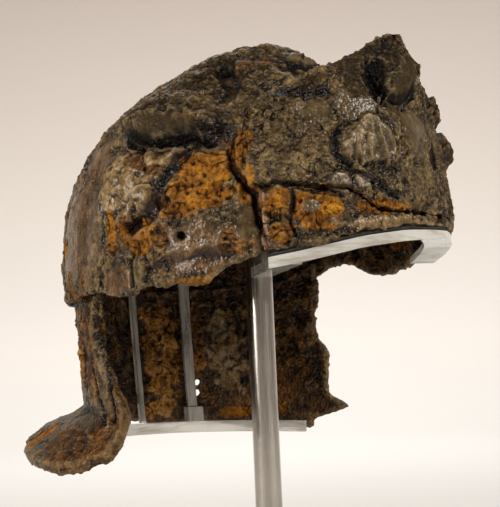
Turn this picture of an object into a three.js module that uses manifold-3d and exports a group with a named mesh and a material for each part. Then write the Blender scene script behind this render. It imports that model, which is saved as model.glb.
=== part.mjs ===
import * as THREE from 'three';
import { mergeVertices } from 'three/addons/utils/BufferGeometryUtils.js';
import Module from 'manifold-3d';

// Millimetres, +Z up. The origin is on the floor under the post, the brow faces -Y and the
// wearer's right is -X. A turn is counted in degrees from the brow towards the wearer's right.

// Iron bowl
const SKULL_FRONT = 107;
const SKULL_BACK = 122;
const SKULL_SIDE = 101;
const SKULL_HEIGHT = 110;
const SKULL_WALL = 4;
const BROW_HEIGHT = 200;
const RIM_DROP = 26;
const RELIEF_DEPTH = 10;
const FRONT_ROUNDNESS = 2.2;
const BACK_ROUNDNESS = 2.1;

// Frontal plate, its low band and the play between pieces
const DIADEM_HEIGHT = 101;
const DIADEM_THICKNESS = 5;
const DIADEM_LEAN = 0.05;
const DIADEM_FOOT = 0.4;
const DIADEM_FAR_END = -60;
const DIADEM_NEAR_END = 48;
const BAND_NEAR_END = 45;
const BAND_HEIGHT = 25;
const BAND_THICKNESS = 3.4;
const PLAY = 0.3;

// Neck guard and the lobe of its flange
const NECK_DROP = 99;
const NECK_TUCK = 8;
const NECK_SIDE = 95;
const NECK_WALL = 4;
const NECK_BACK_TAPER = 0.06;
const NECK_SIDE_TAPER = 0.03;
const NECK_BEND = 1.4;
const ROLL_RISE = 3;
const ROLL_SPAN = 3;
const LOBE_REACH = 36;
const LOBE_DROP = 23.5;
const LOBE_THICKNESS = 6;
const RIVET_HOLE = 4.6;
const PIN_HOLE = 2.6;

// Stand
const POST_DIAMETER = 15;
const BASE_SIDE = 200;
const BASE_THICKNESS = 12;
const REST_THICKNESS = 5.5;
const REST_WIDTH = 11;
const REST_TIP_WIDTH = 15;
const REST_TIP_THICKNESS = 3.8;
const REST_NEAR_END = 44;
const REST_ARM_TURN = 38;
const FOAM_THICKNESS = 1.5;
const FOAM_WIDTH = 5;
const RAIL_HEIGHT = 7;
const RAIL_THICKNESS = 4;
const RAIL_NEAR_END = 104;
const RAIL_FAR_END = 246;
const RAIL_NEAR_LEVEL = 0.93;
const BLOCK_WIDTH = 14;
const BLOCK_HEIGHT = 9;
const STRIP_THICKNESS = 3;
const WIDE_STRIP = 8;
const WIDE_STRIP_TURN = 202;
const NARROW_STRIP = 4.5;
const NARROW_STRIP_TURN = 178;
const STRIP_TOP = 8;
const BRIDGE_THICKNESS = 5;
const BRIDGE_WIDTH = 12;
const PAD_THICKNESS = 5;

const DEGREE = Math.PI / 180;
const wasm = await Module();
wasm.setup();

// Lower edge of the bowl: height over the brow plane as a share of RIM_DROP
const RIM = [
  { turn: -180, height: -0.80 },
  { turn: -150, height: -0.78 },
  { turn: -122, height: -0.70 },
  { turn: -109, height: -0.29 },
  { turn: -104, height: -0.11 },
  { turn: -97, height: 0.00 },
  { turn: -93, height: -0.23 },
  { turn: -89, height: -0.42 },
  { turn: -84, height: -0.45 },
  { turn: -76, height: -0.33 },
  { turn: -69, height: -0.18 },
  { turn: -55, height: 0.05 },
  { turn: -40, height: 0.22 },
  { turn: -23, height: 0.30 },
  { turn: 3, height: 0.22 },
  { turn: 18, height: 0.09 },
  { turn: 24, height: 0.00 },
  { turn: 36, height: -0.17 },
  { turn: 47, height: -0.30 },
  { turn: 56, height: -0.48 },
  { turn: 60, height: -0.71 },
  { turn: 66, height: -0.82 },
  { turn: 70, height: -0.71 },
  { turn: 80, height: -0.73 },
  { turn: 82, height: -0.94 },
  { turn: 90, height: -0.94 },
  { turn: 94, height: -0.83 },
  { turn: 98, height: -0.70 },
  { turn: 101, height: -0.69 },
  { turn: 110, height: -0.83 },
  { turn: 140, height: -0.84 },
  { turn: 180, height: -0.80 },
];

// Lumps and dents of the bowl: heights over the brow as shares of SKULL_HEIGHT, spreads as
// shares of SKULL_SIDE, rises as shares of RELIEF_DEPTH; the tilt in degrees lifts the far end
const SKULL_RELIEF = [
  { turn: 80, height: 0.63, across: 0.32, along: 0.10, tilt: 14, rise: 1.00 },
  { turn: 66, height: 0.48, across: 0.28, along: 0.06, tilt: 4, rise: -0.26 },
  { turn: 89, height: 0.30, across: 0.14, along: 0.26, tilt: 0, rise: 0.35 },
  { turn: 66, height: 0.08, across: 0.20, along: 0.08, tilt: -6, rise: 0.35 },
  { turn: 28, height: 0.97, across: 0.30, along: 0.17, tilt: 0, rise: 0.95 },
  { turn: 60, height: 0.82, across: 0.08, along: 0.18, tilt: 10, rise: -0.24 },
  { turn: 76, height: 0.86, across: 0.14, along: 0.16, tilt: 0, rise: 0.30 },
  { turn: 104, height: 0.10, across: 0.03, along: 0.30, tilt: 0, rise: -0.20 },
  { turn: 140, height: 0.40, across: 0.30, along: 0.24, tilt: 0, rise: 0.25 },
  { turn: -75, height: 0.60, across: 0.30, along: 0.16, tilt: 10, rise: 0.45 },
  { turn: -120, height: 0.35, across: 0.20, along: 0.20, tilt: 0, rise: 0.30 },
];

// Upper edge of the frontal plate: height over the brow as a share of DIADEM_HEIGHT
const DIADEM_EDGE = [
  { turn: -60, height: 0.57 },
  { turn: -45, height: 0.63 },
  { turn: -31, height: 0.71 },
  { turn: -13, height: 0.83 },
  { turn: -5, height: 0.96 },
  { turn: 0, height: 1.00 },
  { turn: 6, height: 0.97 },
  { turn: 13, height: 0.90 },
  { turn: 22, height: 0.83 },
  { turn: 31, height: 0.77 },
  { turn: 48, height: 0.68 },
];

// How far the plate stands off the dome: 0 follows the dome, 1 rises with DIADEM_LEAN alone
const DIADEM_STAND = [
  { turn: -60, share: 0.05 },
  { turn: -40, share: 0.40 },
  { turn: -20, share: 0.80 },
  { turn: 0, share: 1.00 },
  { turn: 16, share: 0.80 },
  { turn: 32, share: 0.40 },
  { turn: 48, share: 0.05 },
];

// Lumps of the frontal plate, in the same shares as those of the bowl
const DIADEM_RELIEF = [
  { turn: 6, height: 0.44, across: 0.17, along: 0.15, tilt: 0, rise: 0.60 },
  { turn: -7, height: 0.76, across: 0.12, along: 0.11, tilt: 20, rise: 0.55 },
  { turn: 4, height: 0.72, across: 0.05, along: 0.16, tilt: -30, rise: 0.35 },
  { turn: 30, height: 0.74, across: 0.20, along: 0.05, tilt: 0, rise: 0.35 },
  { turn: -33, height: 0.42, across: 0.06, along: 0.09, tilt: 0, rise: 0.50 },
  { turn: -28, height: 0.66, across: 0.07, along: 0.08, tilt: 0, rise: 0.50 },
  { turn: 32, height: 0.34, across: 0.16, along: 0.10, tilt: 0, rise: 0.25 },
];

// Upper edge of the low band: height over the brow as a share of BAND_HEIGHT
const BAND_EDGE = [
  { turn: -60, height: 0.46 },
  { turn: -5, height: 0.47 },
  { turn: 13, height: 0.52 },
  { turn: 20, height: 0.90 },
  { turn: 30, height: 0.94 },
  { turn: 45, height: 1.00 },
];

// Front edges of the neck guard on both sides: height as a share of NECK_DROP
const NECK_NEAR_EDGE = [
  { height: -1.00, turn: 94 },
  { height: -0.77, turn: 94.5 },
  { height: -0.67, turn: 100 },
  { height: -0.50, turn: 104 },
  { height: -0.39, turn: 106 },
  { height: 0.10, turn: 106 },
];
const NECK_FAR_EDGE = [
  { height: -1.00, turn: 248 },
  { height: -0.90, turn: 265 },
  { height: -0.83, turn: 254 },
  { height: -0.54, turn: 255 },
  { height: -0.48, turn: 251 },
  { height: -0.35, turn: 250 },
  { height: -0.23, turn: 252 },
  { height: 0.10, turn: 251 },
];

// Foot of the neck guard as a share of NECK_DROP, and the flange under it: reach as a share of
// LOBE_REACH, drop as a share of LOBE_DROP
const FLANGE = [
  { turn: 94, foot: 0.880, reach: 0.32, drop: 0.55 },
  { turn: 101, foot: 0.860, reach: 0.58, drop: 0.88 },
  { turn: 108, foot: 0.845, reach: 0.78, drop: 1.00 },
  { turn: 122, foot: 0.815, reach: 0.96, drop: 0.98 },
  { turn: 135, foot: 0.805, reach: 1.00, drop: 0.86 },
  { turn: 150, foot: 0.825, reach: 0.88, drop: 0.42 },
  { turn: 162, foot: 0.855, reach: 0.70, drop: 0.12 },
  { turn: 171, foot: 0.900, reach: 0.24, drop: 0.06 },
  { turn: 180, foot: 0.940, reach: 0.08, drop: 0.04 },
  { turn: 200, foot: 0.935, reach: 0.06, drop: 0.04 },
  { turn: 225, foot: 1.000, reach: 0.06, drop: 0.04 },
  { turn: 248, foot: 1.000, reach: 0.06, drop: 0.04 },
];

// Holes through the neck guard: height as a share of NECK_DROP
const NECK_HOLES = [
  { turn: 205.5, height: -0.73, diameter: RIVET_HOLE },
  { turn: 205.2, height: -0.80, diameter: RIVET_HOLE },
  { turn: 236.4, height: -0.49, diameter: PIN_HOLE },
  { turn: 244.8, height: -0.50, diameter: PIN_HOLE },
];

// Small hole through the side of the bowl: height as a share of RIM_DROP
const PEEPHOLE = { turn: 66.5, height: 0.19, diameter: 3 };

// Value of a column of a table at a place along its key column
function lookUp(table, key, column, at) {
  const next = table.findIndex((row) => row[key] >= at);
  if (next < 0) {
    return table[table.length - 1][column];
  }
  if (next === 0) {
    return table[0][column];
  }
  const low = table[next - 1];
  const high = table[next];
  const share = (at - low[key]) / (high[key] - low[key]);
  return THREE.MathUtils.lerp(low[column], high[column], share);
}

function signedTurn(turn) {
  return turn > 180 ? turn - 360 : turn;
}

function rimHeight(turn) {
  return RIM_DROP * lookUp(RIM, 'turn', 'height', signedTurn(turn));
}

// Point of the dome, or of the wall under the brow plane, before any relief
function domePoint(turn, height, stand = 0) {
  const angle = turn * DEGREE;
  const behind = (1 - Math.cos(angle)) / 2;
  const roundness = THREE.MathUtils.lerp(FRONT_ROUNDNESS, BACK_ROUNDNESS, behind);
  const climb = THREE.MathUtils.clamp(height / SKULL_HEIGHT, 0, 1);
  const dome = Math.sqrt(1 - climb ** roundness);
  const reach = THREE.MathUtils.lerp(dome, 1 - DIADEM_LEAN * climb, stand);
  const length = Math.cos(angle) > 0 ? SKULL_FRONT : SKULL_BACK;
  const x = -SKULL_SIDE * reach * Math.sin(angle);
  const y = -length * reach * Math.cos(angle);
  return new THREE.Vector3(x, y, BROW_HEIGHT + height);
}

// Direction that points out of the dome at one of its points
function domeNormal(point) {
  const length = point.y < 0 ? SKULL_FRONT : SKULL_BACK;
  const climb = Math.max(0, point.z - BROW_HEIGHT) / SKULL_HEIGHT ** 2;
  const normal = new THREE.Vector3(point.x / SKULL_SIDE ** 2, point.y / length ** 2, climb);
  return normal.normalize();
}

// Height of the relief of a table at a point of the dome
function relief(table, point) {
  let sum = 0;
  for (const row of table) {
    const centre = domePoint(row.turn, row.height * SKULL_HEIGHT);
    const normal = domeNormal(centre);
    const side = new THREE.Vector3(0, 0, 1).cross(normal).normalize();
    const up = normal.clone().cross(side);
    const offset = point.clone().sub(centre);
    const tilt = row.tilt * DEGREE;
    const u = offset.dot(side) * Math.cos(tilt) - offset.dot(up) * Math.sin(tilt);
    const v = offset.dot(side) * Math.sin(tilt) + offset.dot(up) * Math.cos(tilt);
    const across = u / (row.across * SKULL_SIDE);
    const along = v / (row.along * SKULL_SIDE);
    const through = offset.dot(normal) / SKULL_SIDE;
    sum += row.rise * RELIEF_DEPTH * Math.exp(-across * across - along * along - through * through);
  }
  return sum;
}

// Point a given distance out of the bowl's plain skin, with the relief of a table if one is given
function skullPoint(turn, height, out, table = []) {
  const point = domePoint(turn, height);
  return point.clone().addScaledVector(domeNormal(point), out + relief(table, point));
}

// Closed body through cross-sections, each an outer and an inner line of as many points
function loft(sections, around) {
  const rings = sections.map((section) => [...section.outer, ...[...section.inner].reverse()]);
  const size = rings[0].length;
  const positions = rings.flat().flatMap((point) => [point.x, point.y, point.z]);
  const faces = [];
  const addQuad = (a, b, c, d) => faces.push(a, b, c, a, c, d);
  const spans = around ? rings.length : rings.length - 1;
  for (let s = 0; s < spans; s += 1) {
    const here = s * size;
    const there = ((s + 1) % rings.length) * size;
    for (let i = 0; i < size; i += 1) {
      const j = (i + 1) % size;
      addQuad(here + i, here + j, there + j, there + i);
    }
  }
  if (!around) {
    const end = (rings.length - 1) * size;
    for (let i = 0; i < size / 2 - 1; i += 1) {
      addQuad(i, size - 1 - i, size - 2 - i, i + 1);
      addQuad(end + i, end + i + 1, end + size - 2 - i, end + size - 1 - i);
    }
  }
  return closedGeometry(positions, sixfoldVolume(positions, faces) < 0 ? faces.reverse() : faces);
}

// Six times the volume inside a list of triangles, negative if they face inwards
function sixfoldVolume(positions, faces) {
  const corner = (index) => new THREE.Vector3().fromArray(positions, index * 3);
  let sum = 0;
  for (let i = 0; i < faces.length; i += 3) {
    sum += corner(faces[i]).dot(corner(faces[i + 1]).cross(corner(faces[i + 2])));
  }
  return sum;
}

// Indexed geometry with shared corners, facing out, without the triangles that collapse at a pole
function closedGeometry(positions, faces) {
  const raw = new THREE.BufferGeometry();
  raw.setAttribute('position', new THREE.Float32BufferAttribute(positions, 3));
  raw.setIndex(faces);
  const merged = mergeVertices(raw, 0.001);
  const index = merged.getIndex().array;
  const kept = [];
  for (let i = 0; i < index.length; i += 3) {
    const [a, b, c] = index.slice(i, i + 3);
    if (a !== b && b !== c && c !== a) {
      kept.push(a, b, c);
    }
  }
  merged.setIndex(kept);
  merged.computeVertexNormals();
  return merged;
}

function solidOf(geometry) {
  const bare = geometry.clone();
  bare.deleteAttribute('normal');
  bare.deleteAttribute('uv');
  const merged = mergeVertices(bare, 0.001);
  const vertProperties = new Float32Array(merged.getAttribute('position').array);
  const triVerts = new Uint32Array(merged.getIndex().array);
  return new wasm.Manifold(new wasm.Mesh({ numProp: 3, vertProperties, triVerts }));
}

function geometryOf(solid) {
  const mesh = solid.getMesh();
  return closedGeometry(Array.from(mesh.vertProperties), Array.from(mesh.triVerts));
}

// Round bar between two points, for drilling
function barBetween(start, end, diameter) {
  const span = end.clone().sub(start);
  const bar = new THREE.CylinderGeometry(diameter / 2, diameter / 2, span.length(), 12);
  bar.rotateX(Math.PI / 2);
  bar.lookAt(span);
  const middle = start.clone().add(end).multiplyScalar(0.5);
  bar.translate(middle.x, middle.y, middle.z);
  return bar;
}

function drill(geometry, bars) {
  let solid = solidOf(geometry);
  for (const bar of bars) {
    solid = solid.subtract(solidOf(bar));
  }
  return geometryOf(solid);
}

function steps(from, to, count) {
  return Array.from({ length: count + 1 }, (_, i) => THREE.MathUtils.lerp(from, to, i / count));
}

// Climbs in degrees of the rows of points of the dome over the lowest rows, from the side to the crown
const DOME_ROWS = [9, 17, 25, 33, 41, 49, 57, 66, 75, 83, 90];
const PAD_ROWS = DOME_ROWS.slice(-3);

function heightAt(climb) {
  return SKULL_HEIGHT * Math.sin(climb * DEGREE);
}

function skullRows(turn) {
  const rim = rimHeight(turn);
  return [rim, (rim + heightAt(DOME_ROWS[0])) / 2, ...DOME_ROWS.map(heightAt)];
}

function skullBowl() {
  const sections = steps(0, 360, 72).slice(0, -1).map((turn) => {
    const rows = skullRows(turn);
    const outer = rows.map((height) => skullPoint(turn, height, 0, SKULL_RELIEF));
    const inner = rows.map((height) => skullPoint(turn, height, -SKULL_WALL));
    return { outer, inner };
  });
  const bar = barBetween(
    skullPoint(PEEPHOLE.turn, PEEPHOLE.height * RIM_DROP, -2 * SKULL_WALL),
    skullPoint(PEEPHOLE.turn, PEEPHOLE.height * RIM_DROP, 2 * SKULL_WALL),
    PEEPHOLE.diameter,
  );
  return drill(loft(sections, true), [bar]);
}

// Point of the frontal plate: near the dome at its ends, upright in the middle
function diademPoint(turn, height, out, table = []) {
  const stand = lookUp(DIADEM_STAND, 'turn', 'share', turn);
  const point = domePoint(turn, height, stand);
  const plain = domePoint(turn, height);
  const rise = out + relief(SKULL_RELIEF, plain) + relief(table, plain);
  return point.clone().addScaledVector(domeNormal(point), rise);
}

function bandTop(turn) {
  return BAND_HEIGHT * lookUp(BAND_EDGE, 'turn', 'height', turn);
}

function diadem() {
  const sections = steps(DIADEM_FAR_END, DIADEM_NEAR_END, 36).map((turn) => {
    const top = DIADEM_HEIGHT * lookUp(DIADEM_EDGE, 'turn', 'height', turn);
    const rows = steps(bandTop(turn) + DIADEM_FOOT, top, 12);
    const outer = rows.map((height) => diademPoint(turn, height, PLAY + DIADEM_THICKNESS, DIADEM_RELIEF));
    const inner = rows.map((height) => diademPoint(turn, height, PLAY));
    return { outer, inner };
  });
  return loft(sections, false);
}

function browBand() {
  const sections = steps(DIADEM_FAR_END, BAND_NEAR_END, 35).map((turn) => {
    const rows = steps(rimHeight(turn), bandTop(turn), 3);
    const outer = rows.map((height) => skullPoint(turn, height, PLAY + BAND_THICKNESS, SKULL_RELIEF));
    const inner = rows.map((height) => skullPoint(turn, height, PLAY, SKULL_RELIEF));
    return { outer, inner };
  });
  return loft(sections, false);
}

// Point of the neck guard's skin, which narrows downwards and fits inside the bowl
function neckPoint(turn, height, out) {
  const angle = turn * DEGREE;
  const fall = THREE.MathUtils.clamp(-height / NECK_DROP, 0, 1);
  const back = (SKULL_BACK - SKULL_WALL - PLAY) * (1 - NECK_BACK_TAPER * fall ** NECK_BEND) + out;
  const side = NECK_SIDE * (1 - NECK_SIDE_TAPER * fall) + out;
  return new THREE.Vector3(-side * Math.sin(angle), -back * Math.cos(angle), BROW_HEIGHT + height);
}

function neckEdge(table, height) {
  return lookUp(table, 'height', 'turn', height / NECK_DROP);
}

// Cross-section of the neck guard at a share of its way from the near edge to the far edge
function neckSection(share) {
  const outer = [];
  const inner = [];
  const turnAt = (height) => {
    const near = neckEdge(NECK_NEAR_EDGE, height);
    return THREE.MathUtils.lerp(near, neckEdge(NECK_FAR_EDGE, height), share);
  };
  const top = rimHeight(turnAt(0)) + NECK_TUCK;
  const foot = -NECK_DROP * lookUp(FLANGE, 'turn', 'foot', turnAt(-NECK_DROP));
  for (const height of steps(top, foot, 12)) {
    const turn = turnAt(height);
    const fromEdge = (turn - neckEdge(NECK_NEAR_EDGE, height)) / ROLL_SPAN;
    const clear = THREE.MathUtils.smoothstep(rimHeight(turn) - height, 0, ROLL_RISE);
    outer.push(neckPoint(turn, height, ROLL_RISE * clear * Math.exp(-(fromEdge ** 2))));
    inner.push(neckPoint(turn, height, -NECK_WALL));
  }
  const turn = turnAt(foot);
  const reach = LOBE_REACH * lookUp(FLANGE, 'turn', 'reach', turn);
  const drop = LOBE_DROP * lookUp(FLANGE, 'turn', 'drop', turn);
  const thickness = Math.min(LOBE_THICKNESS, NECK_WALL + reach / LOBE_THICKNESS);
  for (const part of steps(0, 1, 4).slice(1)) {
    const height = foot - drop * part;
    outer.push(neckPoint(turn, height, reach * part));
    inner.push(neckPoint(turn, height - thickness, reach * part - thickness / 2));
  }
  return { outer: outer.reverse(), inner: inner.reverse() };
}

function neckGuard() {
  const bars = NECK_HOLES.map((hole) => {
    const height = hole.height * NECK_DROP;
    const inside = neckPoint(hole.turn, height, -2 * NECK_WALL);
    return barBetween(inside, neckPoint(hole.turn, height, 2 * NECK_WALL), hole.diameter);
  });
  return drill(loft(steps(0, 1, 52).map(neckSection), false), bars);
}

// Strip of rectangular section along stations with a centre, an across direction, width and height
function strip(stations) {
  const sections = stations.map((station) => {
    const across = station.across.clone().normalize().multiplyScalar(station.width / 2);
    const lift = new THREE.Vector3(0, 0, station.height / 2);
    const low = station.centre.clone().sub(lift);
    const high = station.centre.clone().add(lift);
    const outer = [low.clone().add(across), high.clone().add(across)];
    const inner = [low.clone().sub(across), high.clone().sub(across)];
    return { outer, inner };
  });
  return loft(sections, false);
}

// Level of the clear crescent's upper face, which leaves room for the foam under the rim
function restTop(turn) {
  return BROW_HEIGHT + rimHeight(turn) - FOAM_THICKNESS - 2 * PLAY;
}

function browStation(turn, width, middle, height) {
  const rim = domePoint(turn, 0);
  const across = domeNormal(rim);
  const centre = rim.addScaledVector(across, BAND_THICKNESS - width / 2);
  centre.z = middle;
  return { centre, across, width, height };
}

function restStation(turn) {
  const tip = THREE.MathUtils.smoothstep(-turn, -10, 30);
  const width = THREE.MathUtils.lerp(REST_WIDTH, REST_TIP_WIDTH, tip);
  const thickness = THREE.MathUtils.lerp(REST_THICKNESS, REST_TIP_THICKNESS, tip);
  return browStation(turn, width, restTop(turn) - thickness / 2, thickness);
}

// Clear crescent under the brow, with the straight arm that joins it to the post
function browRest() {
  const ring = strip(steps(REST_NEAR_END, DIADEM_FAR_END, 26).map(restStation));
  const end = restStation(REST_ARM_TURN);
  const along = end.centre.clone().setZ(0).normalize();
  const across = new THREE.Vector3(-along.y, along.x, 0);
  const root = along.multiplyScalar(POST_DIAMETER / 2 + PLAY).setZ(end.centre.z);
  const arm = strip([root, end.centre].map((centre) => ({ ...end, centre, across, width: REST_WIDTH })));
  return geometryOf(solidOf(ring).add(solidOf(arm)));
}

function foamStrip() {
  const stations = steps(REST_NEAR_END, DIADEM_FAR_END, 26).map((turn) => {
    return browStation(turn, FOAM_WIDTH, restTop(turn) + PLAY + FOAM_THICKNESS / 2, FOAM_THICKNESS);
  });
  return strip(stations);
}

// Upright body on the inside of the neck guard's wall, between two heights
function wallBody(turn, width, thickness, bottom, top) {
  const half = width / 2 / (SKULL_BACK * DEGREE);
  const sections = steps(bottom, top, 8).map((height) => {
    const line = (out) => [turn - half, turn + half].map((side) => neckPoint(side, height, out));
    return { outer: line(-NECK_WALL - PLAY), inner: line(-NECK_WALL - PLAY - thickness) };
  });
  return loft(sections, false);
}

// Height of the rail's upper face, which falls from the near side to the full drop of the guard
function railTop(turn) {
  const share = (turn - RAIL_NEAR_END) / (RAIL_FAR_END - RAIL_NEAR_END);
  return -NECK_DROP * THREE.MathUtils.lerp(RAIL_NEAR_LEVEL, 1, share);
}

// Rail on the inside of the neck guard's lower edge
function neckRail() {
  const stations = steps(RAIL_NEAR_END, RAIL_FAR_END, 36).map((turn) => {
    const centre = neckPoint(turn, railTop(turn), -NECK_WALL - PLAY - RAIL_THICKNESS / 2);
    const across = centre.clone().setZ(0);
    centre.z -= RAIL_HEIGHT / 2;
    return { centre, across, width: RAIL_THICKNESS, height: RAIL_HEIGHT };
  });
  return strip(stations);
}

function bridgeStation(point, across) {
  const centre = point.clone().setZ(BROW_HEIGHT + STRIP_TOP + PLAY + BRIDGE_THICKNESS / 2);
  return { centre, across, width: BRIDGE_WIDTH, height: BRIDGE_THICKNESS };
}

// Hidden T-shaped bridge from the post to the tops of the two clear strips
function stripBridge() {
  const inset = -NECK_WALL - PLAY - BRIDGE_WIDTH / 2;
  const near = neckPoint(NARROW_STRIP_TURN - 3, STRIP_TOP, inset);
  const far = neckPoint(WIDE_STRIP_TURN + 3, STRIP_TOP, inset);
  const middle = near.clone().add(far).multiplyScalar(0.5);
  const outwards = middle.clone().setZ(0).normalize();
  const sideways = new THREE.Vector3(-outwards.y, outwards.x, 0);
  const root = outwards.clone().multiplyScalar(POST_DIAMETER / 2 + PLAY);
  const arm = strip([bridgeStation(root, sideways), bridgeStation(middle, sideways)]);
  const bar = strip([bridgeStation(near, outwards), bridgeStation(far, outwards)]);
  return geometryOf(solidOf(arm).add(solidOf(bar)));
}

function padUnderside() {
  return BROW_HEIGHT + heightAt(PAD_ROWS[0]) - SKULL_WALL - PLAY - PAD_THICKNESS;
}

// Hidden pad on the post, its upper face shaped to the inside of the crown
function crownPad() {
  const sections = steps(0, 360, 24).slice(0, -1).map((turn) => {
    const outer = PAD_ROWS.map((row) => skullPoint(turn, heightAt(row), -SKULL_WALL - PLAY));
    const inner = outer.map((point) => point.clone().setZ(padUnderside()));
    return { outer, inner };
  });
  return loft(sections, true);
}

function post() {
  const bottom = BASE_THICKNESS + PLAY;
  const top = padUnderside() - PLAY;
  const bar = new THREE.CylinderGeometry(POST_DIAMETER / 2, POST_DIAMETER / 2, top - bottom, 32);
  bar.rotateX(Math.PI / 2);
  bar.translate(0, 0, (bottom + top) / 2);
  return bar;
}

function basePlate() {
  const plate = new THREE.BoxGeometry(BASE_SIDE, BASE_SIDE, BASE_THICKNESS);
  plate.translate(0, 0, BASE_THICKNESS / 2);
  return plate;
}

const IRON = { roughness: 0.85, metalness: 0.25 };
const STEEL = { color: 0xa8a29a, roughness: 0.35, metalness: 0.9 };
const CLEAR = { color: 0xd9d2c6, roughness: 0.12, metalness: 0, transparent: true, opacity: 0.4 };
const FOAM = { color: 0x17140f, roughness: 0.95, metalness: 0 };

const blockBottom = railTop(WIDE_STRIP_TURN) + PLAY;
const blockTop = blockBottom + BLOCK_HEIGHT;
const narrowBottom = railTop(NARROW_STRIP_TURN) + PLAY;
const block = wallBody(WIDE_STRIP_TURN, BLOCK_WIDTH, RAIL_THICKNESS * 2, blockBottom, blockTop);
const wide = wallBody(WIDE_STRIP_TURN, WIDE_STRIP, STRIP_THICKNESS, blockTop + PLAY, STRIP_TOP);
const narrow = wallBody(NARROW_STRIP_TURN, NARROW_STRIP, STRIP_THICKNESS, narrowBottom, STRIP_TOP);
const pieces = [
  ['skull_bowl', skullBowl(), { ...IRON, color: 0x5b4228 }],
  ['diadem', diadem(), { ...IRON, color: 0x574530 }],
  ['brow_band', browBand(), { ...IRON, color: 0x6e5636 }],
  ['neck_guard', neckGuard(), { ...IRON, color: 0x573a1c }],
  ['post', post(), STEEL],
  ['base_plate', basePlate(), STEEL],
  ['crown_pad', crownPad(), FOAM],
  ['brow_rest', browRest(), CLEAR],
  ['foam_strip', foamStrip(), FOAM],
  ['neck_rail', neckRail(), CLEAR],
  ['rail_block', block, CLEAR],
  ['wide_strip', wide, CLEAR],
  ['narrow_strip', narrow, CLEAR],
  ['strip_bridge', stripBridge(), STEEL],
];
const group = new THREE.Group();
for (const [name, geometry, look] of pieces) {
  const mesh = new THREE.Mesh(geometry, new THREE.MeshStandardMaterial(look));
  mesh.name = name;
  group.add(mesh);
}
export default group;
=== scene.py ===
"""Corroded iron helmet on a clear display stand: surfaces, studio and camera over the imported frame."""
import math
from collections import namedtuple

import bmesh
import bpy
import numpy as np
from mathutils import Matrix, Vector
from mathutils.bvhtree import BVHTree


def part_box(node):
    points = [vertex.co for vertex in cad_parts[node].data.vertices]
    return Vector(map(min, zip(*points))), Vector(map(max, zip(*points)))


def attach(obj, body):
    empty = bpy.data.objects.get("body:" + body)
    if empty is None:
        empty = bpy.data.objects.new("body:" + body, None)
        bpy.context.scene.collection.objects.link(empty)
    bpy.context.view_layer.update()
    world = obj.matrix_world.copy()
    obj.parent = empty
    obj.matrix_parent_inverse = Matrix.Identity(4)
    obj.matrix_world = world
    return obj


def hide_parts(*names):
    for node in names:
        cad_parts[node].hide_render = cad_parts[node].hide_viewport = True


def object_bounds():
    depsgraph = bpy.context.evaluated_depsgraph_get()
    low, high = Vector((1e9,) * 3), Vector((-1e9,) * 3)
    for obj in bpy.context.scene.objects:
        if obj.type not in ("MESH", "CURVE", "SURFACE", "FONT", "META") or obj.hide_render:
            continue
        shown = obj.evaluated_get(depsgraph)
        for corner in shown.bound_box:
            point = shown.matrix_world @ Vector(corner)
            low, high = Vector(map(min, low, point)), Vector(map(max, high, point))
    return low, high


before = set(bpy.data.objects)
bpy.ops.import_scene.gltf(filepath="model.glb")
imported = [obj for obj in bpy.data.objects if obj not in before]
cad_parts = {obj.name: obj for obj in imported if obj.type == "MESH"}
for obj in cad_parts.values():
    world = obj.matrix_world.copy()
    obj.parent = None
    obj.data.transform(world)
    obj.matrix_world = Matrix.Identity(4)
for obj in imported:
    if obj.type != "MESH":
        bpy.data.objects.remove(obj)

CAD_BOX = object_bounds()
MM = 0.001

# The photograph and the camera that took it.
PICTURE_WIDTH = 500
PICTURE_HEIGHT = 507
FOCAL_PIXELS = 1150
SENSOR_WIDTH = 36.0
CAMERA_SIDE = math.radians(45)
CAMERA_DISTANCE = 0.65
EYE_LEVEL = 0.15
POST_COLUMN = 258
HORIZON_ROW = 345
CAMERA_ROLL = math.radians(2.5)

# The skull's own reaches in millimetres, which turns and heights below are measured on.
SIDE_REACH = 101.0
FRONT_REACH = 107.0
BACK_REACH = 122.0
CROWN_REACH = 110.0
BROW_LEVEL = 200.0

# Surface work in millimetres.
IRON_VOXEL = 1.5
SKULL_VOXEL = 1.9
FOAM_VOXEL = 1.2
FOAM_PASSES = 2
FOAM_ROUGH = 0.25
IRON_PASSES = 5
PLATE_THIN = 3.8
PLATE_THIN_TURNS = (38, 48)
PLATE_THIN_HEIGHTS = (46, 58)
FLANGE_CALM = 0.65
FLANGE_DEPTHS = (60, 78)
PEAK_LEVEL = 303.6
PEAK_WEAR = 0.8
SHARP_ANGLE = 50
SIDE_SLACK = 25.0
BOX_MARGIN = 0.05
RAY_START = 300.0
OUTSIDE_REACH = 0.975
OUTSIDE_SLOPE = (-0.25, 0.25)
SKULL_TURNS = (36, 124)
FRONT_TURNS = (-40, 60)

# How points are relaxed: a pull towards their neighbours, then a push back.
RELAX_PULL = 0.55
RELAX_PUSH = -0.57

# Repeatable draws for noise and scattered cells.
HASH_STEPS = (374761393, 668265263, 1440662683, 974634777)
HASH_MIX = 1274126177
WORD = 0xFFFFFFFF
DRAW_TOP = 1023
NOISE_GAIN = 1.6
SCATTER = 0.45
FAR_AWAY = 9.0
SHARD_STEP = 0.6
SHARD_TILT = 0.8

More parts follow.
